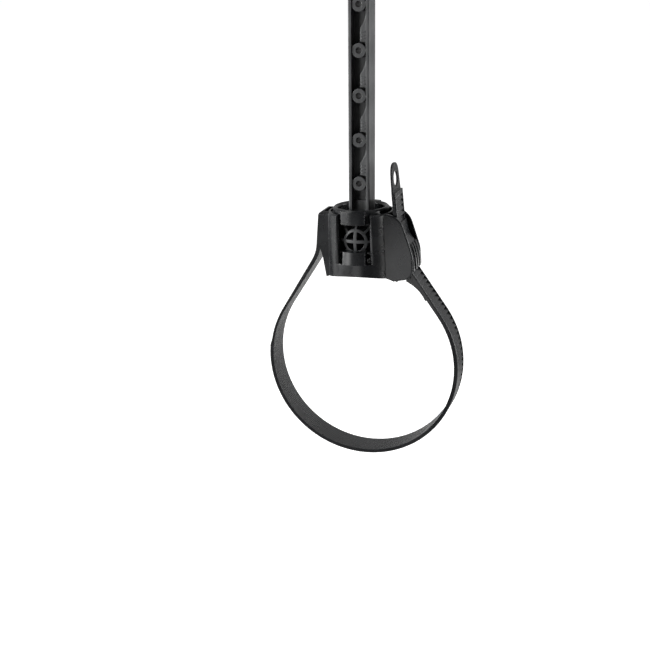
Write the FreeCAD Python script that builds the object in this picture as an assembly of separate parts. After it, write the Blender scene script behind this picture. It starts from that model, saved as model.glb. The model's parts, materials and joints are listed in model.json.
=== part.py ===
import FreeCAD, Part
import math
import os

# Strap hanger for a pipe: a nailing arm with a ball at its lower end, snapped into a head whose toothed
# strap loops round the pipe. The pipe's axis is the Y axis, +Z is up, and the origin is on that axis in
# the middle of the strap's width. Sizes are millimetres and degrees.

# Pipe and stance
pipe_diameter = 114.3
ball_above_pipe = 19.85
head_lean = 1.6

# Arm
arm_width = 12.7
arm_depth = 12.7
flange_thickness = 2.05
web_thickness = 1.8
boss_count = 8
boss_pitch = 25.4
first_boss_above_ball = 32.8
boss_diameter = 8.2
boss_hole = 3.6
boss_recess = 0.5
boss_web_height = 2.6
boss_web_recess = 1.0
arm_end_margin = 9.4
arm_end_wall = 2.2
arm_edge_round = 0.8
neck_top_below_boss = 10.5
neck_channel_depth = 3.6

# Raised pad moulded in each bay of the front channel
pad_width = 3.4
pad_recess = 0.6
pad_start_below_boss = 5.6
pad_full_below_boss = 13.0
pad_end_above_boss = 5.0
pad_hollow_share = 0.28
pad_hollow_lift = 0.6
pad_start_width = 0.15
pad_ridge_height = 0.3
pad_ridge_margin = 0.6
pad_ridge_pitch = 1.9
pad_ridge_length = 0.9
pad_ridge_from_top = 1.4
pad_ridge_count = 3

# Ball
ball_diameter = 30.0
ball_web = 2.2
ball_ring_diameter = 14.6
ball_ring_wall = 1.5
ball_cross_rib = 1.8
ball_spoke = 1.4
ball_spoke_count = 8
ball_skin_wall = 1.7
ball_cap_share = 0.72

# Tower of the head, round about the ball's axis
socket_clearance = 0.3
opening_diameter = 27.9
opening_flare = 1.2
rim_top_above_ball = 18.7
rim_radius = 16.8
rim_chamfer = 0.9
tower_top_above_ball = 16.1
tower_top_radius = 19.8
tower_foot_radius = 20.3
tower_wall = 1.5
tower_chamfer = 0.7
core_depth = 15.0
core_bridge_beside_window = 1.2
window_half_width = 9.3
window_top_above_ball = 10.9
window_foot_below_ball = 5.6
slot_foot_below_ball = 13.0
slot_edge_round = 1.45
groove_floor_radius = 16.7
band_half_width = 7.2
band_foot_radius = 19.9
band_top_radius = 19.8
band_top_above_ball = 18.3
band_groove_radius = 18.2
band_groove_depth = 2.0
tongue_half_width = 6.8
tongue_foot_radius = 20.2
tongue_top_radius = 18.9
catch_radius = 13.5
catch_height = 3.2
cradle_thickness = 1.8
cradle_top_below_ball = 11.0

# Block that carries the strap's fixed end, on the left
block_left = 24.0
block_top_round = 2.5
block_lean = 5.6
block_crotch_x = 23.7
block_crotch_below_ball = 6.2
block_crotch_round = 1.0
block_waist_x = 22.3
block_waist_below_ball = 11.2
block_toe_x = 20.4
block_toe_below_ball = 23.6
block_inner_x = 12.0
block_buried = 2.5
block_pocket_half_width = 6.6
block_pocket_depth = 15.0

# Strap
strap_width = 17.5
strap_thickness = 2.4
strap_plain_thickness = 1.6
strap_plain_on_pipe = 22.0
strap_plain_ramp = 5.0
strap_edge_chamfer = 0.5
strap_rail_width = 1.5
strap_floor = 1.3
tooth_pitch = 3.2
tooth_steep_share = 0.15
tooth_crest_drop = 0.02
teeth_after_ramp = 6.0
root_bend_radius = 24.0
left_contact_angle = 33.7
right_contact_angle = 34.0
lock_bend_radius = 50.0
tail_lean = 4.0
tail_inner_at_ball_height = 22.9
tail_top_above_ball = 44.5
tail_grip_length = 16.5
tail_grip_thickness = 1.1
tail_taper_length = 20.0
tail_tip_width = 13.6
tail_tip_round = 6.5
tail_hole_diameter = 9.0
tail_hole_from_tip = 9.2

# Lock on the right: two side plates, a guide wall inside the strap and a ribbed bridge outside it
lock_side_clearance = 0.4
lock_face_clearance = 0.4
lock_inner_x = 12.0
plate_thickness = 1.75
plate_chamfer = 0.6
plate_inner_x = 10.0
plate_shoulder_x = 25.9
plate_shoulder_round = 12.0
plate_cheek_x = 33.3
plate_cheek_below_ball = 7.8
plate_cheek_round = 15.0
plate_jaw_below_ball = 22.3
plate_jaw_round = 6.5
plate_toe_x = 22.0
plate_toe_below_ball = 24.2
plate_foot_below_ball = 28.0
guide_wall = 1.6
guide_above_bend = 8.0
guide_below_bend = 1.5
floor_thickness = 5.0
floor_outer_x = 23.5
mid_rib = 1.5
mid_rib_top_above_ball = 10.0
bridge_foot_x = 33.1
bridge_foot_below_ball = 18.1
bridge_sole_x = 33.9
bridge_sole_below_ball = 17.6
bridge_bulge_x = 33.8
bridge_bulge_below_ball = 14.0
bridge_brow_x = 31.0
bridge_brow_below_ball = 2.5
bridge_top_x = 28.9
bridge_top_below_ball = 3.0
bridge_rib = 1.8
bridge_rib_count = 3
bridge_rib_height = 0.6
pawl_thickness = 1.8
pawl_tip_above_ball = 10.0
pawl_toothed_length = 8.0
pawl_clearance = 0.3
pawl_side_gap = 0.7
pawl_root_drop = 1.0

# Wedge-shaped foot that fills the space between the pipe and the strap below the lock
wedge_tip_angle = 45.5
wedge_root_x = 28.5
wedge_root_z = 52.2
wedge_belly_x = 34.8
wedge_belly_z = 47.9
wedge_half_width = 7.2
wedge_height = 14.0
wedge_gap = 0.35
strap_space = 30.0

# How far joined solids reach into each other, how far cutting ones reach past their work, and what counts
# as the same place
overlap = 0.2
spare = 1.0
beyond = 125.0
same_place = 0.01
hair = 1e-9

# Worked out from the sizes above
pipe_radius = pipe_diameter / 2
ball_height = pipe_radius + ball_above_pipe
ball_radius = ball_diameter / 2
socket_radius = ball_radius + socket_clearance
opening_radius = opening_diameter / 2
rim_top = ball_height + rim_top_above_ball
tower_top = ball_height + tower_top_above_ball
window_top = ball_height + window_top_above_ball
window_sill = ball_height - window_foot_below_ball
slot_foot = ball_height - slot_foot_below_ball
lock_half_width = strap_width / 2 + lock_side_clearance
plate_half_width = lock_half_width + plate_thickness
arm_x = -ball_height * math.sin(math.radians(head_lean))
arm_ball_z = ball_height * math.cos(math.radians(head_lean))
first_boss_z = arm_ball_z + first_boss_above_ball
arm_top = first_boss_z + (boss_count - 1) * boss_pitch + arm_end_margin


def vec(x, y, z):
    return FreeCAD.Vector(x, y, z)


def box(x_low, x_high, y_low, y_high, z_low, z_high):
    """A box between two corners."""
    return Part.makeBox(x_high - x_low, y_high - y_low, z_high - z_low, vec(x_low, y_low, z_low))


def rod_y(radius, x, z, y_low, y_high):
    """A cylinder along Y."""
    return Part.makeCylinder(radius, y_high - y_low, vec(x, y_low, z), vec(0, 1, 0))


def rod_z(radius, x, y, z_low, z_high):
    """A cylinder along Z."""
    return Part.makeCylinder(radius, z_high - z_low, vec(x, y, z_low))


def slab(edges, y_low, y_high):
    """The closed outline in the XZ plane, as edges at y = 0, made solid between two values of y."""
    face = Part.Face(Part.Wire(Part.__sortEdges__(edges)))
    face.translate(vec(0, y_low, 0))
    return face.extrude(vec(0, y_high - y_low, 0))


def polygon(points):
    """Straight edges through (x, z) points, closed."""
    corners = [vec(x, 0, z) for x, z in points]
    return [Part.LineSegment(a, b).toShape() for a, b in zip(corners, corners[1:] + corners[:1])]


def curve(start, middle, end):
    """An arc through three (x, z) points."""
    return Part.Arc(*(vec(x, 0, z) for x, z in (start, middle, end))).toShape()


def line(start, end):
    """A straight edge between two (x, z) points."""
    return Part.LineSegment(*(vec(x, 0, z) for x, z in (start, end))).toShape()


def unit(x, z):
    """The direction of an (x, z) vector, with length one."""
    length = math.hypot(x, z)
    return x / length, z / length


def rounded(corners):
    """A closed outline through (x, z, radius) corners, with a tangent arc where a radius is given."""
    starts, ends, edges = [], [], []
    for index, (x, z, radius) in enumerate(corners):
        last, following = corners[index - 1], corners[(index + 1) % len(corners)]
        back = unit(last[0] - x, last[1] - z)
        onward = unit(following[0] - x, following[1] - z)
        half = math.acos(back[0] * onward[0] + back[1] * onward[1]) / 2
        reach = radius / math.tan(half)
        starts.append((x + back[0] * reach, z + back[1] * reach))
        ends.append((x + onward[0] * reach, z + onward[1] * reach))
        if radius > 0:
            inward = unit(back[0] + onward[0], back[1] + onward[1])
            depth = radius / math.sin(half) - radius
            edges.append(curve(starts[-1], (x + inward[0] * depth, z + inward[1] * depth), ends[-1]))
    for index, end in enumerate(ends):
        edges.append(line(end, starts[(index + 1) % len(starts)]))
    return edges


def column(edges, z_low, z_high):
    """An outline whose second coordinate points towards -Y, made solid between two heights."""
    solid = slab(edges, z_low, z_high)
    solid.rotate(vec(0, 0, 0), vec(1, 0, 0), 90)
    return solid


def polar(radius, degrees):
    """The (x, z) point at an angle from +X about the pipe's axis."""
    return radius * math.cos(math.radians(degrees)), radius * math.sin(math.radians(degrees))


def crossing(point_a, heading_a, point_b, heading_b):
    """Where two lines meet, each given by an (x, z) point and a heading in degrees from +X."""
    ax, az = math.cos(math.radians(heading_a)), math.sin(math.radians(heading_a))
    bx, bz = math.cos(math.radians(heading_b)), math.sin(math.radians(heading_b))
    along = ((point_b[0] - point_a[0]) * bz - (point_b[1] - point_a[1]) * bx) / (ax * bz - az * bx)
    return point_a[0] + along * ax, point_a[1] + along * az


class Run:
    """A planar route of straights and arcs. Its outer side is to the right of the direction of travel."""

    def __init__(self, start, heading):
        self.x, self.z = start
        self.heading = heading
        self.moves = []
        self.starts = {}

    def ahead(self, name, length):
        """A straight stretch."""
        self.starts[name] = self.length()
        self.moves.append(("line", self.x, self.z, self.heading, length, 0.0))
        self.x += length * math.cos(math.radians(self.heading))
        self.z += length * math.sin(math.radians(self.heading))

    def turn(self, name, radius, degrees):
        """An arc: positive degrees turn left."""
        self.starts[name] = self.length()
        side = 1 if degrees > 0 else -1
        angle = math.radians(self.heading + 90 * side)
        centre_x = self.x + radius * math.cos(angle)
        centre_z = self.z + radius * math.sin(angle)
        length = radius * abs(math.radians(degrees))
        self.moves.append(("arc", centre_x, centre_z, self.heading, length, side * radius))
        self.heading += degrees
        angle = math.radians(self.heading - 90 * side)
        self.x = centre_x + radius * math.cos(angle)
        self.z = centre_z + radius * math.sin(angle)

    def length(self):
        return sum(move[4] for move in self.moves)

    def at(self, distance, outward):
        """The point at a distance along the route and a distance to its outer side."""
        for kind, x, z, heading, length, radius in self.moves:
            if distance <= length or (kind, x, z) == self.moves[-1][:3]:
                break
            distance -= length
        if kind == "line":
            along, out = math.radians(heading), math.radians(heading - 90)
            return (
                x + distance * math.cos(along) + outward * math.cos(out),
                z + distance * math.sin(along) + outward * math.sin(out),
            )
        side = math.copysign(1, radius)
        angle = math.radians(heading) + distance / radius - side * math.pi / 2
        reach = abs(radius) + side * outward
        return x + reach * math.cos(angle), z + reach * math.sin(angle)

    def edges(self, start, end, outward):
        """The route's edges between two distances, offset to its outer side."""
        found, done = [], 0.0
        for kind, _, _, _, length, _ in self.moves:
            low, high = max(start, done), min(end, done + length)
            if high - low > same_place:
                first, last = self.at(low + hair, outward), self.at(high - hair, outward)
                if kind == "line":
                    found.append(line(first, last))
                else:
                    found.append(curve(first, self.at((low + high) / 2, outward), last))
            done += length
        return found

    def band(self, start, end, inner, outer, y_low, y_high):
        """A solid that follows the route between two offsets."""
        sides = self.edges(start, end, inner) + self.edges(start, end, outer)
        caps = [
            line(self.at(start + hair, inner), self.at(start + hair, outer)),
            line(self.at(end - hair, inner), self.at(end - hair, outer)),
        ]
        return slab(sides + caps, y_low, y_high)


def hanger_arm():
    """The I-section arm with its ring bosses, the neck and the cored ball."""
    half_width, half_depth = arm_width / 2, arm_depth / 2
    channel_half = half_width - flange_thickness
    half_web = web_thickness / 2
    neck_top = first_boss_z - neck_top_below_boss
    bar = box(-half_width, half_width, -half_depth, half_depth, arm_ball_z, arm_top)
    bar = bar.makeFillet(arm_edge_round, [e for e in bar.Edges if e.BoundBox.ZLength > arm_width])
    for side in (-1, 1):
        near, far = sorted((side * half_web, side * beyond))
        bar = bar.cut(box(-channel_half, channel_half, near, far, neck_top, arm_top - arm_end_wall))
        near, far = sorted((side * (half_depth - neck_channel_depth), side * beyond))
        low = arm_ball_z + ball_radius * ball_cap_share
        bar = bar.cut(box(-channel_half, channel_half, near, far, low, neck_top))
    boss_half = half_depth - boss_recess
    web_reach, web_half = channel_half + overlap, boss_half - boss_web_recess
    for index in range(boss_count):
        z = first_boss_z + index * boss_pitch
        bar = bar.fuse(rod_y(boss_diameter / 2, 0, z, -boss_half, boss_half))
        low, high = z - boss_web_height / 2, z + boss_web_height / 2
        bar = bar.fuse(box(-web_reach, web_reach, -web_half, web_half, low, high))
        if index > 0:
            bar = bar.fuse(bay_pad(z, channel_half))
    for index in range(boss_count):
        z = first_boss_z + index * boss_pitch
        bar = bar.cut(rod_y(boss_hole / 2, 0, z, -beyond, beyond))
    arm = bar.fuse(cored_ball())
    arm.translate(vec(arm_x, 0, 0))
    return arm.removeSplitter()


def bay_pad(boss_z, channel_half):
    """The raised pad below one boss: it grows out of the right flange along a hollow curve."""
    wall = channel_half + overlap
    start = boss_z - pad_start_below_boss
    full = boss_z - pad_full_below_boss
    end = boss_z - boss_pitch + pad_end_above_boss
    inner = channel_half - pad_width
    bend = (channel_half - pad_width * pad_hollow_share, (start + full) / 2 + pad_hollow_lift)
    outset = channel_half - pad_start_width
    edges = [
        curve((outset, start), bend, (inner, full)),
        line((inner, full), (inner, end)),
        line((inner, end), (wall, end)),
        line((wall, end), (wall, start)),
        line((wall, start), (outset, start)),
    ]
    front = pad_recess - arm_depth / 2
    pad = slab(edges, front, overlap - web_thickness / 2)
    low_x, high_x = inner + pad_ridge_margin, channel_half - pad_ridge_margin
    for row in range(pad_ridge_count):
        z = full - pad_ridge_from_top - row * pad_ridge_pitch
        pad = pad.fuse(box(low_x, high_x, front - pad_ridge_height, front + overlap, z - pad_ridge_length, z))
    return pad


def cored_ball():
    """The ball, cored from front and back down to a web, with a ring, a cross and spokes left standing."""
    centre = vec(0, 0, arm_ball_z)
    ball = Part.makeSphere(ball_radius, centre)
    ring_radius = ball_ring_diameter / 2
    bore = rod_y(ring_radius - ball_ring_wall, 0, arm_ball_z, ball_web / 2, ball_radius)
    outer = rod_y(ball_radius - ball_skin_wall, 0, arm_ball_z, ball_web / 2, ball_radius)
    outer = outer.cut(rod_y(ring_radius, 0, arm_ball_z, 0, beyond))
    half_cross, half_spoke = ball_cross_rib / 2, ball_spoke / 2
    for turn in range(2):
        rib = box(-beyond, beyond, 0, beyond, -half_cross, half_cross)
        rib.rotate(vec(0, 0, 0), vec(0, 1, 0), 90 * turn)
        rib.translate(centre)
        bore = bore.cut(rib)
    for turn in range(ball_spoke_count // 2):
        spoke = box(-beyond, beyond, 0, beyond, -half_spoke, half_spoke)
        spoke.rotate(vec(0, 0, 0), vec(0, 1, 0), 360 / ball_spoke_count * turn)
        spoke.translate(centre)
        outer = outer.cut(spoke)
    cap = box(-arm_width / 2, arm_width / 2, 0, beyond, ball_radius * ball_cap_share, beyond)
    cap.translate(centre)
    pockets = bore.fuse(outer).cut(cap)
    behind = pockets.copy()
    behind.rotate(centre, vec(0, 0, 1), 180)
    return ball.cut(pockets).cut(behind)


def strap_route():
    """The strap's inner face: down the left wall, round the pipe, up through the lock and on to the tip."""
    wall_heading = 270 - block_lean
    left_angle, right_angle = 180 - left_contact_angle, right_contact_angle
    out = math.radians(wall_heading - 90)
    start = (
        -block_left - strap_thickness * math.cos(out),
        tower_top - strap_thickness * math.sin(out),
    )
    left_contact, right_contact = polar(pipe_radius, left_angle), polar(pipe_radius, right_angle)
    corner = crossing(start, wall_heading, left_contact, left_angle + 90)
    turn = left_angle + 90 - wall_heading
    tangent = root_bend_radius * math.tan(math.radians(abs(turn) / 2))
    route = Run(start, wall_heading)
    route.ahead("block", math.dist(start, corner) - tangent)
    route.turn("root bend", root_bend_radius, turn)
    route.ahead("free", math.dist(corner, left_contact) - tangent)
    route.turn("pipe", pipe_radius, 360 - left_angle + right_angle)
    tail_start = (tail_inner_at_ball_height, ball_height)
    tail_heading = 90 + tail_lean
    corner = crossing(right_contact, right_angle + 90, tail_start, tail_heading)
    turn = tail_heading - right_angle - 90
    tangent = lock_bend_radius * math.tan(math.radians(abs(turn) / 2))
    route.ahead("rise", math.dist(right_contact, corner) - tangent)
    route.turn("lock bend", lock_bend_radius, turn)
    rise = ball_height + tail_top_above_ball - corner[1]
    route.ahead("tail", rise / math.cos(math.radians(tail_lean)) - tangent)
    return route


def teeth_start(route):
    """The distance along the route at which the first tooth stands."""
    return route.starts["pipe"] + strap_plain_on_pipe + strap_plain_ramp + teeth_after_ramp


def strap_teeth(route, start, end, lift, half_width):
    """The comb of gullets cut out of the outer face, one for each tooth. A lift sets it further out."""
    count = int((end - start) / tooth_pitch)
    crest = strap_thickness - tooth_crest_drop + lift
    lower = []
    for index in range(count):
        base = start + index * tooth_pitch - lift
        lower.append(route.at(base, strap_floor + lift))
        lower.append(route.at(base + tooth_pitch * tooth_steep_share, crest))
    lower.append(route.at(start + count * tooth_pitch - lift, strap_floor + lift))
    above = [route.at(start + index * tooth_pitch, 2 * strap_thickness) for index in range(count + 1)]
    return slab(polygon(lower + above[::-1]), -half_width, half_width)


def tail_waste(route):
    """What is cut away beside the tail's tapered grip, and its finger hole."""
    half, half_tip = strap_width / 2, tail_tip_width / 2
    low, high = -strap_thickness, 2 * strap_thickness
    keep = column(rounded([
        (-overlap, half + overlap, 0),
        (0, half + overlap, 0),
        (tail_taper_length, half_tip, tail_tip_round),
        (tail_taper_length, -half_tip, tail_tip_round),
        (0, -half - overlap, 0),
        (-overlap, -half - overlap, 0),
    ]), low - spare, high + spare)
    waste = box(0, tail_taper_length + spare, -strap_width, strap_width, low, high).cut(keep)
    waste = waste.fuse(rod_z(tail_hole_diameter / 2, tail_taper_length - tail_hole_from_tip, 0, low, high))
    waste.rotate(vec(0, 0, 0), vec(0, 1, 0), -90 - tail_lean)
    x, z = route.at(route.length() - tail_taper_length, 0)
    waste.translate(vec(x, 0, z))
    return waste


def edged_band(route, start, end):
    """The strap at its full thickness, with its two long outer edges chamfered."""
    half = strap_width / 2
    band = route.band(start, end, 0, strap_thickness, -half, half)
    middles = [edge_middle(edge) for edge in route.edges(start, end, strap_thickness)]
    chosen = []
    for edge in band.Edges:
        x, y, z = edge_middle(edge)
        at_side = abs(abs(y) - half) < same_place
        if at_side and any(math.dist((x, z), (m[0], m[2])) < same_place for m in middles):
            chosen.append(edge)
    return band.makeChamfer(strap_edge_chamfer, chosen)


def edge_middle(edge):
    """The point halfway along an edge."""
    point = edge.valueAt((edge.FirstParameter + edge.LastParameter) / 2)
    return point.x, point.y, point.z


def strap(route):
    """The whole strap: a plain stretch that thins away from the block, the teeth, and the thin grip."""
    half = strap_width / 2
    bend_end, contact = route.starts["free"], route.starts["pipe"]
    ramp_start = contact + strap_plain_on_pipe
    ramp_end = ramp_start + strap_plain_ramp
    grip_start = route.length() - tail_grip_length
    band = route.band(block_top_round, bend_end, 0, strap_thickness, -half, half)
    taper = slab(polygon([
        route.at(bend_end, 0),
        route.at(bend_end, strap_thickness),
        route.at(contact, strap_plain_thickness),
        route.at(contact, 0),
    ]), -half, half)
    plain = route.band(contact, ramp_end, 0, strap_plain_thickness, -half, half)
    ramp = slab(polygon([
        route.at(ramp_start, strap_plain_thickness),
        route.at(ramp_end, strap_thickness),
        route.at(ramp_end, strap_plain_thickness / 2),
        route.at(ramp_start, strap_plain_thickness / 2),
    ]), -half, half)
    toothed = edged_band(route, ramp_end, grip_start)
    ladder_half = half - strap_rail_width
    teeth = strap_teeth(route, teeth_start(route), grip_start, 0, ladder_half)
    grip = route.band(grip_start, route.length(), 0, tail_grip_thickness, -half, half)
    whole = band.fuse(taper).fuse(plain).fuse(ramp).fuse(toothed.cut(teeth)).fuse(grip)
    return whole.cut(tail_waste(route))


def tower():
    """The round wall about the ball, cored from the top between its outer wall and the collar."""
    foot = ball_height - plate_foot_below_ball
    draft = (tower_foot_radius - tower_top_radius) / (tower_top - pipe_radius)
    foot_radius = tower_top_radius + draft * (tower_top - foot)
    body = Part.makeCone(foot_radius, tower_top_radius, tower_top - foot, vec(0, 0, foot))
    top_edges = [e for e in body.Edges if e.BoundBox.ZMin > tower_top - same_place]
    body = body.makeChamfer(tower_chamfer, top_edges)
    core = rod_z(tower_top_radius - tower_wall, 0, 0, tower_top - core_depth, beyond)
    core = core.cut(rod_z(rim_radius, 0, 0, 0, beyond))
    bridge = window_half_width + core_bridge_beside_window
    core = core.cut(box(-bridge, bridge, -beyond, beyond, 0, beyond))
    collar = rod_z(rim_radius, 0, 0, ball_height, rim_top)
    top_edges = [e for e in collar.Edges if e.BoundBox.ZMin > rim_top - same_place]
    collar = collar.makeChamfer(rim_chamfer, top_edges)
    return body.cut(core).fuse(collar).fuse(window_bands())


def window_bands():
    """The thick bands above the two windows, with a shallow groove round the collar."""
    top = ball_height + band_top_above_ball
    bands = Part.makeCone(band_foot_radius, band_top_radius, top - window_top, vec(0, 0, window_top))
    bands = bands.common(box(-band_half_width, band_half_width, -beyond, beyond, window_top, top))
    groove = rod_z(band_groove_radius, 0, 0, top - band_groove_depth, top + spare)
    return bands.cut(groove)


def socket():
    """The space for the ball: a bore open below, the ball's own seat, and the opening for the neck."""
    space = Part.makeSphere(socket_radius, vec(0, 0, ball_height))
    space = space.fuse(rod_z(socket_radius, 0, 0, 0, ball_height))
    space = space.fuse(rod_z(opening_radius, 0, 0, ball_height, rim_top + spare))
    flare_radius, flare_foot = opening_radius + opening_flare, rim_top - opening_flare
    flare = Part.makeCone(opening_radius, flare_radius, opening_flare, vec(0, 0, flare_foot))
    return space.fuse(flare)


def window(side):
    """One side's window, the slots beside its snap tongue, the grooves above them and the tongue's lean."""
    near, far = sorted((side * opening_radius / 2, side * beyond))
    opening = box(-window_half_width, window_half_width, near, far, window_sill, window_top)
    slot_radius = (window_half_width - tongue_half_width) / 2
    for x_low, x_high in ((-window_half_width, -tongue_half_width), (tongue_half_width, window_half_width)):
        opening = opening.fuse(box(x_low, x_high, near, far, slot_foot + slot_radius, window_sill + spare))
        opening = opening.fuse(rod_y(slot_radius, (x_low + x_high) / 2, slot_foot + slot_radius, near, far))
    for x_low, x_high in ((-window_half_width, -band_half_width), (band_half_width, window_half_width)):
        groove = box(x_low, x_high, near, far, window_top - spare, rim_top + spare)
        opening = opening.fuse(groove.cut(rod_z(groove_floor_radius, 0, 0, 0, beyond)))
    height = window_sill + spare - slot_foot
    lean = box(-tongue_half_width, tongue_half_width, near, far, slot_foot, window_sill + spare)
    lean = lean.cut(Part.makeCone(tongue_foot_radius, tongue_top_radius, height, vec(0, 0, slot_foot)))
    return opening.fuse(lean).fuse(slot_edges(side))


def slot_edges(side):
    """The rounding of the two upright edges where the slots and grooves meet the tower's outside."""
    wall = (tower_top_radius + tower_foot_radius) / 2
    centre_x = window_half_width + slot_edge_round
    centre_y = math.sqrt((wall - slot_edge_round) ** 2 - centre_x**2)
    tangent = math.atan2(centre_y, centre_x)
    middle = (math.pi + tangent) / 2
    end = (centre_x + slot_edge_round * math.cos(tangent), centre_y + slot_edge_round * math.sin(tangent))
    half_way = (centre_x + slot_edge_round * math.cos(middle), centre_y + slot_edge_round * math.sin(middle))
    outside = wall + slot_edge_round
    edges = [
        curve((window_half_width, centre_y), half_way, end),
        line(end, (end[0], outside)),
        line((end[0], outside), (window_half_width - overlap, outside)),
        line((window_half_width - overlap, outside), (window_half_width - overlap, centre_y)),
        line((window_half_width - overlap, centre_y), (window_half_width, centre_y)),
    ]
    right = column(edges, slot_foot, rim_top + spare)
    if side > 0:
        right = right.mirror(vec(0, 0, 0), vec(0, 1, 0))
    return right.fuse(right.mirror(vec(0, 0, 0), vec(1, 0, 0)))


def catches():
    """The two ledges at the tongues' tops that hold the ball up in its seat."""
    root = socket_radius + overlap
    foot = window_sill - catch_height
    ring = rod_z(root, 0, 0, foot, window_sill)
    ring = ring.cut(Part.makeCone(root, catch_radius, catch_height, vec(0, 0, foot)))
    ring = ring.cut(rod_z(catch_radius, 0, 0, 0, beyond))
    ring = ring.cut(Part.makeSphere(socket_radius, vec(0, 0, ball_height)))
    return ring.common(box(-tongue_half_width, tongue_half_width, -beyond, beyond, 0, beyond))


def cradle():
    """The rib across the bottom of the socket that the ball sits on."""
    half, reach = cradle_thickness / 2, socket_radius + overlap
    foot, top = ball_height - plate_foot_below_ball, ball_height - cradle_top_below_ball
    rib = box(-reach, reach, -half, half, foot, top)
    return rib.cut(Part.makeSphere(socket_radius, vec(0, 0, ball_height)))


def strap_block(route):
    """The block on the left that the strap grows out of, with a rounded top, cored from above."""
    half = strap_width / 2
    bend, foot = route.starts["root bend"], ball_height - plate_foot_below_ball
    left_x = route.at(0, strap_thickness)[0]
    bend_x, bend_z = route.at(bend, strap_thickness)
    buried_x, buried_z = route.at(bend + block_buried, strap_thickness / 2)
    outline = rounded([
        (-block_inner_x, tower_top, 0),
        (left_x, tower_top, block_top_round),
        (bend_x, bend_z, 0),
        (buried_x, buried_z, 0),
        (-block_crotch_x, ball_height - block_crotch_below_ball, block_crotch_round),
        (-block_waist_x, ball_height - block_waist_below_ball, 0),
        (-block_toe_x, ball_height - block_toe_below_ball, 0),
        (-block_toe_x + spare, foot, 0),
        (-block_inner_x, foot, 0),
    ])
    block = slab(outline, -half, half)
    profile = slab(rounded([
        (-half, tower_top, block_top_round),
        (half, tower_top, block_top_round),
        (half, 0, 0),
        (-half, 0, 0),
    ]), -beyond, beyond)
    profile.rotate(vec(0, 0, 0), vec(0, 0, 1), 90)
    pocket_x, pocket_foot = route.at(0, -overlap)[0], tower_top - block_pocket_depth
    half_pocket = block_pocket_half_width
    pocket = box(pocket_x, -block_inner_x, -half_pocket, half_pocket, pocket_foot, beyond)
    return block.common(profile).cut(pocket)


def side_plate(side):
    """One side wall of the lock, with chamfered outer edges."""
    foot = ball_height - plate_foot_below_ball
    outline = rounded([
        (plate_inner_x, tower_top, 0),
        (plate_shoulder_x, tower_top, plate_shoulder_round),
        (plate_cheek_x, ball_height - plate_cheek_below_ball, plate_cheek_round),
        (plate_cheek_x, ball_height - plate_jaw_below_ball, plate_jaw_round),
        (plate_toe_x, ball_height - plate_toe_below_ball, 0),
        (plate_toe_x, foot, 0),
        (plate_inner_x, foot, 0),
    ])
    near, far = sorted((side * lock_half_width, side * plate_half_width))
    plate = slab(outline, near, far)
    outer = []
    for edge in plate.Edges:
        x, y, z = edge_middle(edge)
        on_face = abs(y - side * plate_half_width) < same_place and edge.BoundBox.YLength < same_place
        if on_face and x > plate_inner_x + spare and z > ball_height - plate_toe_below_ball:
            outer.append(edge)
    return plate.makeChamfer(plate_chamfer, outer)


def lock(route):
    """What stands between the side plates: guide wall, floor, middle rib, bridge and pawl."""
    half = lock_half_width + overlap
    inner = -lock_face_clearance - guide_wall
    low, high = route.starts["lock bend"] - guide_below_bend, route.starts["tail"] + guide_above_bend
    guide = route.band(low, high, inner, -lock_face_clearance, -half, half)
    ring = rod_y(pipe_radius + floor_thickness, 0, 0, -half, half)
    floor = ring.common(box(lock_inner_x, floor_outer_x, -half, half, 0, ball_height))
    rib_foot, rib_top = ball_height - plate_toe_below_ball, ball_height + mid_rib_top_above_ball
    rib = box(lock_inner_x, plate_cheek_x, -mid_rib / 2, mid_rib / 2, rib_foot, rib_top)
    low, high = route.starts["rise"], route.length() - tail_grip_length
    rib = rib.cut(route.band(low, high, -lock_face_clearance - overlap, strap_space, -half, half))
    return guide.fuse(floor).fuse(rib).fuse(bridge()).fuse(pawl(route))


def bridge():
    """The ribbed wall outside the strap."""
    half = lock_half_width + overlap
    foot = (bridge_foot_x, ball_height - bridge_foot_below_ball)
    top = (bridge_top_x, ball_height - bridge_top_below_ball)
    sole = (bridge_sole_x, ball_height - bridge_sole_below_ball)
    bulge = (bridge_bulge_x, ball_height - bridge_bulge_below_ball)
    brow = (bridge_brow_x, ball_height - bridge_brow_below_ball)
    edges = [line(foot, top), line(top, brow), curve(brow, bulge, sole), line(sole, foot)]
    wall = slab(edges, -half, half)
    spacing = 2 * lock_half_width / (bridge_rib_count + 1)
    for index in range(bridge_rib_count):
        middle = -lock_half_width + spacing * (index + 1)
        rib = slab(edges, middle - bridge_rib / 2, middle + bridge_rib / 2)
        rib.translate(vec(bridge_rib_height, 0, overlap))
        wall = wall.fuse(rib)
    return wall


def pawl(route):
    """The springy finger, rooted in the bridge, whose teeth catch the strap's from outside."""
    half = strap_width / 2 - strap_rail_width - pawl_side_gap
    bend_end = route.starts["tail"]
    tip = bend_end + (ball_height + pawl_tip_above_ball - route.at(bend_end, 0)[1])
    heel = tip - pawl_toothed_length
    face = strap_floor + pawl_clearance
    back = strap_thickness + pawl_clearance + pawl_thickness
    root_z = ball_height - bridge_top_below_ball
    body = slab(polygon([
        route.at(tip, face),
        route.at(heel, face),
        route.at(heel, strap_thickness + pawl_clearance),
        (bridge_top_x, root_z - pawl_root_drop),
        (bridge_brow_x, root_z),
        route.at(heel, back),
        route.at(tip, back - pawl_thickness / 2),
    ]), -half, half)
    low, high = route.starts["lock bend"], route.length() - tail_grip_length
    wide = half + spare
    space = route.band(low, high, -spare, strap_thickness + pawl_clearance, -wide, wide)
    skipped = math.ceil((low - teeth_start(route)) / tooth_pitch)
    first = teeth_start(route) + skipped * tooth_pitch
    return body.cut(space.cut(strap_teeth(route, first, high, pawl_clearance, wide + spare)))


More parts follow.
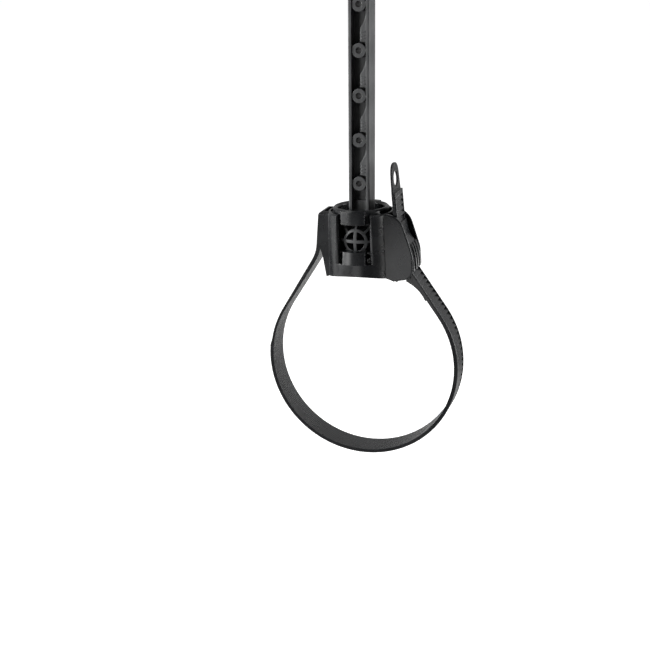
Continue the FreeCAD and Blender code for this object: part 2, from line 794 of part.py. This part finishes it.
def saddle_wedge(route):
    """The foot that tapers away between the pipe and the strap."""
    outer = rod_y(pipe_radius + wedge_height, 0, 0, -wedge_half_width, wedge_half_width)
    root, tip = (wedge_root_x, wedge_root_z), polar(pipe_radius - overlap, wedge_tip_angle)
    far = polar(pipe_radius * 2, wedge_tip_angle)
    over_root = (wedge_root_x, far[1])
    belly = curve(root, (wedge_belly_x, wedge_belly_z), tip)
    outline = [belly, line(tip, far), line(far, over_root), line(over_root, root)]
    wedge = outer.common(slab(outline, -wedge_half_width, wedge_half_width))
    low, high = route.starts["rise"], route.starts["tail"]
    return wedge.cut(route.band(low, high, -wedge_gap, strap_space, -strap_width, strap_width))


def tie_head():
    """Head and strap in one moulding, built upright and then leaned about the pipe."""
    route = strap_route()
    head = tower().fuse(strap_block(route))
    for side in (-1, 1):
        head = head.fuse(side_plate(side))
    head = head.fuse(lock(route)).fuse(saddle_wedge(route))
    head = head.cut(socket()).fuse(catches()).fuse(cradle())
    for side in (-1, 1):
        head = head.cut(window(side))
    head = head.cut(rod_y(pipe_radius, 0, 0, -beyond, beyond))
    head = head.fuse(strap(route)).removeSplitter()
    head.rotate(vec(0, 0, 0), vec(0, 1, 0), -head_lean)
    return head


os.makedirs("parts", exist_ok=True)
for name, build in (("hanger_arm", hanger_arm), ("tie_head", tie_head)):
    shape = build()
    shape.exportStep("parts/" + name + ".step")
    print(name, len(shape.Solids), "solid", shape.isValid(), round(shape.Volume, 1), shape.BoundBox)
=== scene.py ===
import json
import math

import bmesh
import bpy
from mathutils import Matrix, Vector


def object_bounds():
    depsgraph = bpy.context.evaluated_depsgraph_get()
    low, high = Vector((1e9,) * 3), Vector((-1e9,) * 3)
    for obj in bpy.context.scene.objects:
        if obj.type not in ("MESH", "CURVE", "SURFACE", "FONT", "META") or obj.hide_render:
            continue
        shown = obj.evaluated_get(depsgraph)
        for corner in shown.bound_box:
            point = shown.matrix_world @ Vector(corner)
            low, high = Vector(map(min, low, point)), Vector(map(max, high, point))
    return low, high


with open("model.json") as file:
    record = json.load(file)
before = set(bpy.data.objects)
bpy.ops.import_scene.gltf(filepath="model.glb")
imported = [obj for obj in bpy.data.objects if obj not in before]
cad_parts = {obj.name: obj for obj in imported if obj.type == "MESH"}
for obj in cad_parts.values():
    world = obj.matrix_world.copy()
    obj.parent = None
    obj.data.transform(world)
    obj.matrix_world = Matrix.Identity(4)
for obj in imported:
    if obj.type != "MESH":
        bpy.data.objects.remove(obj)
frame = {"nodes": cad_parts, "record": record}  # bodies arm and head, with one swivel between them
cad_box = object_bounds()

# Camera.
# It stands in front of the strap's loop, to the right and above, and looks down and to the left through it.
# Its place, its three angles and its focal length were fitted to the photograph. Sizes are in metres.

camera_place = Vector((0.196631, -0.67780, 0.253203))
camera_yaw = math.radians(-18.190)
camera_pitch = math.radians(18.178)
camera_roll = math.radians(-0.686)
photo_width_px = 650
focal_length_px = 1216.55
sensor_width_mm = 36.0
camera_clip_start = 0.01

ahead = Vector((
    math.sin(camera_yaw) * math.cos(camera_pitch),
    math.cos(camera_yaw) * math.cos(camera_pitch),
    -math.sin(camera_pitch),
))
level_right = ahead.cross(Vector((0, 0, 1))).normalized()
level_up = level_right.cross(ahead)
to_right = level_right * math.cos(camera_roll) + level_up * math.sin(camera_roll)
to_top = level_up * math.cos(camera_roll) - level_right * math.sin(camera_roll)

camera = bpy.data.objects.new("camera", bpy.data.cameras.new("camera"))
bpy.context.scene.collection.objects.link(camera)
camera_turn = Matrix((to_right, to_top, -ahead)).transposed().to_4x4()
camera.matrix_world = Matrix.Translation(camera_place) @ camera_turn
camera.data.sensor_width = sensor_width_mm
camera.data.lens = focal_length_px * sensor_width_mm / photo_width_px
camera.data.clip_start = camera_clip_start
bpy.context.scene.camera = camera
bpy.context.scene.view_settings.view_transform = "Standard"

# Floor.
# A plain sheet well below the strap, white paper behind the hanger and grey bench in front of it.
# Only the softest shadow reaches it. To the camera alone it also glows, so that it shows as white.

floor_below_strap = 0.10
floor_radius = 9.0
floor_sides = 96
floor_paper = "#F4F4F3"
floor_bench = "#5A5A5A"
floor_bench_ends = -0.30
floor_paper_starts = 0.10
floor_glow = "#FFFFFF"
floor_glow_strength = 0.82


def linear_colour(code):
    """The linear colour, with alpha 1, of an sRGB hex code."""
    levels = [int(code[start:start + 2], 16) / 255 for start in (1, 3, 5)]
    return [
        level / 12.92 if level <= 0.04045 else ((level + 0.055) / 1.055) ** 2.4 for level in levels
    ] + [1.0]


def add_node(tree, kind, sockets, **settings):
    """Adds a shader node with its settings. A socket is given a value, or an output that it is linked to."""
    added = tree.nodes.new("ShaderNode" + kind)
    for name, value in settings.items():
        setattr(added, name, value)
    for name, value in sockets.items():
        if isinstance(value, bpy.types.NodeSocket):
            tree.links.new(value, added.inputs[name])
        else:
            added.inputs[name].default_value = value
    return added


def new_material(name):
    """An empty node material and its tree."""
    material = bpy.data.materials.new(name)
    material.use_nodes = True
    material.node_tree.nodes.clear()
    return material, material.node_tree


floor_material, tree = new_material("matt_white_paper")
place = add_node(tree, "TexCoord", {})
spot = add_node(tree, "SeparateXYZ", {"Vector": place.outputs["Object"]})
behind = add_node(tree, "MapRange", {
    "Value": spot.outputs["Y"], "From Min": floor_bench_ends, "From Max": floor_paper_starts,
}, interpolation_type="SMOOTHSTEP")
sheet = add_node(tree, "Mix", {
    "Factor": behind.outputs[0], "A": linear_colour(floor_bench), "B": linear_colour(floor_paper),
}, data_type="RGBA")
paper = add_node(tree, "BsdfDiffuse", {"Color": sheet.outputs["Result"]})
seen = add_node(tree, "LightPath", {})
lift = add_node(tree, "Math", {
    0: seen.outputs["Is Camera Ray"], 1: floor_glow_strength,
}, operation="MULTIPLY")
glow = add_node(tree, "Emission", {"Color": linear_colour(floor_glow), "Strength": lift.outputs[0]})
both = add_node(tree, "AddShader", {0: paper.outputs[0], 1: glow.outputs[0]})
add_node(tree, "OutputMaterial", {"Surface": both.outputs[0]})

floor_height = cad_box[0][2] - floor_below_strap
floor_shape = bmesh.new()
bmesh.ops.create_circle(floor_shape, cap_ends=True, radius=floor_radius, segments=floor_sides)
bmesh.ops.translate(floor_shape, verts=floor_shape.verts, vec=(0, 0, floor_height))
floor_mesh = bpy.data.meshes.new("floor")
floor_shape.to_mesh(floor_mesh)
floor_shape.free()
floor_mesh.materials.append(floor_material)
floor = bpy.data.objects.new("floor", floor_mesh)
bpy.context.scene.collection.objects.link(floor)

# Light.
# Tall softboxes stand left and right, with a small one high up, and two small cards light the head from near.
# The room is white behind the hanger and dim in front of it, and it is white to the camera everywhere.

room_white = "#FFFFFF"
room_front_strength = 0.04
room_back_strength = 0.42
room_front_edge = -0.35
room_back_edge = 0.45
room_seen_strength = 1.0
lit_point = Vector((0, 0, 0.1))
lamp_distance = 1.3


def area_lamp(name, place, facing, width, height, radiance, spread=180):
    """A rectangular lamp that looks along a direction, with its light in proportion to its area."""
    lamp = bpy.data.lights.new(name, "AREA")
    lamp.shape = "RECTANGLE"
    lamp.size = width
    lamp.size_y = height
    lamp.spread = math.radians(spread)
    lamp.energy = math.pi * width * height * radiance
    stand = bpy.data.objects.new(name, lamp)
    bpy.context.scene.collection.objects.link(stand)
    turned = Vector(facing).to_track_quat("-Z", "Y").to_matrix().to_4x4()
    stand.matrix_world = Matrix.Translation(place) @ turned
    stand.visible_camera = False


def softbox(name, azimuth, elevation, width, height, radiance):
    """A lamp that faces the hanger, turned from straight in front to the right and raised, in degrees."""
    turn, rise = math.radians(azimuth), math.radians(elevation)
    out = Vector((math.sin(turn) * math.cos(rise), -math.cos(turn) * math.cos(rise), math.sin(rise)))
    area_lamp(name, lit_point + out * lamp_distance, -out, width, height, radiance)


softbox("left_light", azimuth=-63, elevation=8, width=0.40, height=0.90, radiance=16.0)
softbox("left_fill", azimuth=-36, elevation=6, width=0.34, height=0.80, radiance=5.0)
softbox("high_light", azimuth=-65, elevation=50, width=0.50, height=0.50, radiance=3.0)
softbox("right_rim_light", azimuth=102, elevation=10, width=0.60, height=0.90, radiance=9.4)
area_lamp(
    "front_card", place=(-0.012, -0.160, 0.016), facing=(0.15, 1.0, 0.25),
    width=0.080, height=0.055, radiance=0.36, spread=90,
)
area_lamp(
    "back_card", place=(0.020, 0.140, 0.045), facing=(0, 0, 1),
    width=0.080, height=0.200, radiance=1.0,
)

world = bpy.data.worlds.new("studio")
bpy.context.scene.world = world
world.use_nodes = True
tree = world.node_tree
tree.nodes.clear()
around = add_node(tree, "TexCoord", {})
direction = add_node(tree, "SeparateXYZ", {"Vector": around.outputs["Generated"]})
room = add_node(tree, "MapRange", {
    "Value": direction.outputs["Y"], "From Min": room_front_edge, "From Max": room_back_edge,
    "To Min": room_front_strength, "To Max": room_back_strength,
}, interpolation_type="SMOOTHSTEP")
seen = add_node(tree, "LightPath", {})
fill = add_node(tree, "Background", {"Color": linear_colour(room_white), "Strength": room.outputs[0]})
white = add_node(tree, "Background", {"Color": linear_colour(room_white), "Strength": room_seen_strength})
shown = add_node(tree, "MixShader", {
    0: seen.outputs["Is Camera Ray"], 1: fill.outputs[0], 2: white.outputs[0],
})
add_node(tree, "OutputWorld", {"Surface": shown.outputs[0]})

# Nailing arm.
# One injection moulding of black nylon: an I-section with ring bosses in its channels, and a cored ball.
# Its shape is the frame's own. The mould gave it slightly round edges, a faint grain and a hair line. Painted
# shade lies at each boss's height, and its edges carry a painted highlight.

# The arm's black is paler than the head's partly as painted light, standing in for the stronger light that
# the arm catches.
arm_black = "#404142"
arm_black_pale = "#545556"
# painted highlight tone for the arm's edges
arm_edge_highlight_tone = "#7C7D7E"
arm_streak_width = 0.0012
arm_streak_length = 0.030
arm_roughness = (0.40, 0.50)
arm_grain_depth = 0.00004
cloud_tone_range = (0.2, 0.8)
cloud_gloss_range = (0.3, 0.7)
grain_pitch = 0.0006  # the real grain is finer, and is drawn as coarse as it has to be to show
grain_strength = 0.5
plastic_ior = 1.53
edge_round = 0.00045
edge_samples = 6
edge_turn_low = 0.03
edge_turn_high = 0.25
edge_highlight_share = 0.7
parting_half_width = 0.00012
parting_height = 0.00006
boss_pitch = 0.0254
# painted shade at each boss's height, and painted sheen between bosses, as a share of the cloud tone
painted_boss_shade_amount = 0.22
first_pair = next(mount for mount in frame["record"]["mounts"] if mount["name"] == "nail_pair_1")
first_boss_height = first_pair["pos_m"][2] - boss_pitch / 2


def parting_line(tree, place, skin):
    """The hair line down the arm's two sides where the halves of its mould met."""
    point = add_node(tree, "SeparateXYZ", {"Vector": place.outputs["Object"]})
    off_middle = add_node(tree, "Math", {0: point.outputs["Y"]}, operation="ABSOLUTE")
    height = add_node(tree, "MapRange", {
        "Value": off_middle.outputs[0], "From Min": 0.0, "From Max": parting_half_width,
        "To Min": 1.0, "To Max": 0.0,
    }, interpolation_type="SMOOTHSTEP")
    return add_node(tree, "Bump", {
        "Height": height.outputs[0], "Strength": 1.0, "Distance": parting_height, "Normal": skin.outputs[0],
    })


def paint_shade_at_bosses(tree, place, clouds):
    """Paints shade into the clouds at the height of each boss, where the thick moulding has sunk a little,
    and paints a paler sheen midway between bosses.
    """
    point = add_node(tree, "SeparateXYZ", {"Vector": place.outputs["Object"]})
    above = add_node(tree, "Math", {0: point.outputs["Z"], 1: first_boss_height}, operation="SUBTRACT")
    phase = add_node(tree, "Math", {0: above.outputs[0], 1: 2 * math.pi / boss_pitch}, operation="MULTIPLY")
    wave = add_node(tree, "Math", {0: phase.outputs[0]}, operation="COSINE")
    return add_node(tree, "Math", {
        0: wave.outputs[0], 1: -painted_boss_shade_amount, 2: clouds.outputs[0],
    }, operation="MULTIPLY_ADD")


def even_clouds(tree, place, clouds):
    """Leaves the clouds as they are."""
    return clouds


def moulded_plastic(name, dark, pale, edge_highlight_tone, cloud_size, roughness, grain_depth, painted_shades, relief):
    """Black moulded plastic: clouds of a paler tone with any painted shade passed in, the tool's grain, and
    round edges with a painted highlight.
    """
    material, tree = new_material(name)
    place = add_node(tree, "TexCoord", {})
    stretched = add_node(tree, "Mapping", {
        "Vector": place.outputs["Object"], "Scale": [1 / size for size in cloud_size],
    })
    clouds = add_node(tree, "TexNoise", {
        "Vector": stretched.outputs[0], "Scale": 1.0, "Detail": 3.0, "Roughness": 0.55,
    })
    grain = add_node(tree, "TexNoise", {
        "Vector": place.outputs["Object"], "Scale": 1 / grain_pitch, "Detail": 2.0, "Roughness": 0.6,
    })
    clouds_and_painted_shade = painted_shades(tree, place, clouds)
    tone = add_node(tree, "MapRange", {
        "Value": clouds_and_painted_shade.outputs[0], "From Min": cloud_tone_range[0], "From Max": cloud_tone_range[1],
    })
    colour = add_node(tree, "Mix", {
        "Factor": tone.outputs[0], "A": linear_colour(dark), "B": linear_colour(pale),
    }, data_type="RGBA")
    gloss = add_node(tree, "MapRange", {
        "Value": clouds.outputs["Fac"], "From Min": cloud_gloss_range[0], "From Max": cloud_gloss_range[1],
        "To Min": roughness[0], "To Max": roughness[1],
    })
    # The skin turns away from the flat face only near an edge, and there a painted highlight makes it paler.
    skin = add_node(tree, "Bevel", {"Radius": edge_round}, samples=edge_samples)
    flat = add_node(tree, "NewGeometry", {})
    turned = add_node(tree, "VectorMath", {
        0: skin.outputs[0], 1: flat.outputs["True Normal"],
    }, operation="DOT_PRODUCT")
    edge = add_node(tree, "MapRange", {
        "Value": turned.outputs["Value"], "From Min": 1 - edge_turn_low, "From Max": 1 - edge_turn_high,
        "To Min": 0.0, "To Max": edge_highlight_share,
    })
    painted_edge_highlight = add_node(tree, "Mix", {
        "Factor": edge.outputs[0], "A": colour.outputs["Result"], "B": linear_colour(edge_highlight_tone),
    }, data_type="RGBA")
    skin = relief(tree, place, skin)
    skin = add_node(tree, "Bump", {
        "Height": grain.outputs["Fac"], "Strength": grain_strength, "Distance": grain_depth,
        "Normal": skin.outputs[0],
    })
    plastic = add_node(tree, "BsdfPrincipled", {
        "Base Color": painted_edge_highlight.outputs["Result"], "Roughness": gloss.outputs[0], "Normal": skin.outputs[0],
        "IOR": plastic_ior,
    })
    add_node(tree, "OutputMaterial", {"Surface": plastic.outputs[0]})
    return material


# Satin black nylon with faint upright flow streaks, which give the flanges the uneven sheen of a moulding.
# Its black is paler than the head's partly as painted light, with painted shade at each boss and a painted
# highlight on its edges.
arm_plastic = moulded_plastic(
    "streaked_black_nylon", dark=arm_black, pale=arm_black_pale, edge_highlight_tone=arm_edge_highlight_tone,
    cloud_size=(arm_streak_width, arm_streak_width, arm_streak_length), roughness=arm_roughness,
    grain_depth=arm_grain_depth, painted_shades=paint_shade_at_bosses, relief=parting_line,
)
arm = frame["nodes"]["hanger_arm"]
for slot in arm.material_slots:
    slot.material = arm_plastic

# Head and strap.
# One moulding of black acetal: a socket tower for the ball, a lock box, and a toothed strap in a loop.
# Fine ridges cross the strap's inner face, so that it grips, and its free tail has a coarse skin.

head_black = "#17181A"
head_black_pale = "#222325"
# painted highlight tone for the head's edges
head_edge_highlight_tone = "#3A3B3D"
head_cloud = 0.014
head_roughness = (0.22, 0.31)
head_grain_depth = 0.00003
strap_loop_radius = 0.05715
strap_ridge_pitch = 0.0008  # finer on the real strap, and as coarse as it has to be to show
strap_ridge_depth = 0.00010
strap_inner_turn = -0.7
strap_top = 0.062
tail_foot = 0.098
tail_grain_pitch = 0.0014
tail_grain_depth = 0.00022


def strap_relief(tree, place, skin):
    """Ridges across the strap's inner face, counted along its loop, and the tail's coarse grain."""
    point = add_node(tree, "SeparateXYZ", {"Vector": place.outputs["Object"]})
    angle = add_node(tree, "Math", {0: point.outputs["Z"], 1: point.outputs["X"]}, operation="ARCTAN2")
    turns = 2 * math.pi * strap_loop_radius / strap_ridge_pitch
    phase = add_node(tree, "Math", {0: angle.outputs[0], 1: turns}, operation="MULTIPLY")
    wave = add_node(tree, "Math", {0: phase.outputs[0]}, operation="SINE")
    flat = add_node(tree, "CombineXYZ", {"X": point.outputs["X"], "Z": point.outputs["Z"]})
    outward = add_node(tree, "VectorMath", {0: flat.outputs[0]}, operation="NORMALIZE")
    facing = add_node(tree, "VectorMath", {
        0: place.outputs["Normal"], 1: outward.outputs[0],
    }, operation="DOT_PRODUCT")
    inner = add_node(tree, "Math", {0: facing.outputs["Value"], 1: strap_inner_turn}, operation="LESS_THAN")
    below = add_node(tree, "Math", {0: point.outputs["Z"], 1: strap_top}, operation="LESS_THAN")
    both = add_node(tree, "Math", {0: inner.outputs[0], 1: below.outputs[0]}, operation="MULTIPLY")
    height = add_node(tree, "Math", {0: wave.outputs[0], 1: both.outputs[0]}, operation="MULTIPLY")
    ridged = add_node(tree, "Bump", {
        "Height": height.outputs[0], "Strength": 1.0, "Distance": strap_ridge_depth,
        "Normal": skin.outputs[0],
    })
    coarse = add_node(tree, "TexNoise", {
        "Vector": place.outputs["Object"], "Scale": 1 / tail_grain_pitch,
        "Detail": 1.0, "Roughness": 0.5,
    })
    above = add_node(tree, "Math", {0: point.outputs["Z"], 1: tail_foot}, operation="GREATER_THAN")
    pits = add_node(tree, "Math", {0: coarse.outputs["Fac"], 1: above.outputs[0]}, operation="MULTIPLY")
    return add_node(tree, "Bump", {
        "Height": pits.outputs[0], "Strength": 1.0, "Distance": tail_grain_depth, "Normal": ridged.outputs[0],
    })


# Smooth black acetal with soft clouds, the ridges and a painted highlight on its edges: a darker, wetter look
# than the arm beside it, whose paler black is partly painted light.
head_plastic = moulded_plastic(
    "smooth_black_acetal", dark=head_black, pale=head_black_pale, edge_highlight_tone=head_edge_highlight_tone,
    cloud_size=(head_cloud, head_cloud, head_cloud), roughness=head_roughness,
    grain_depth=head_grain_depth, painted_shades=even_clouds, relief=strap_relief,
)
head = frame["nodes"]["tie_head"]
for slot in head.material_slots:
    slot.material = head_plastic
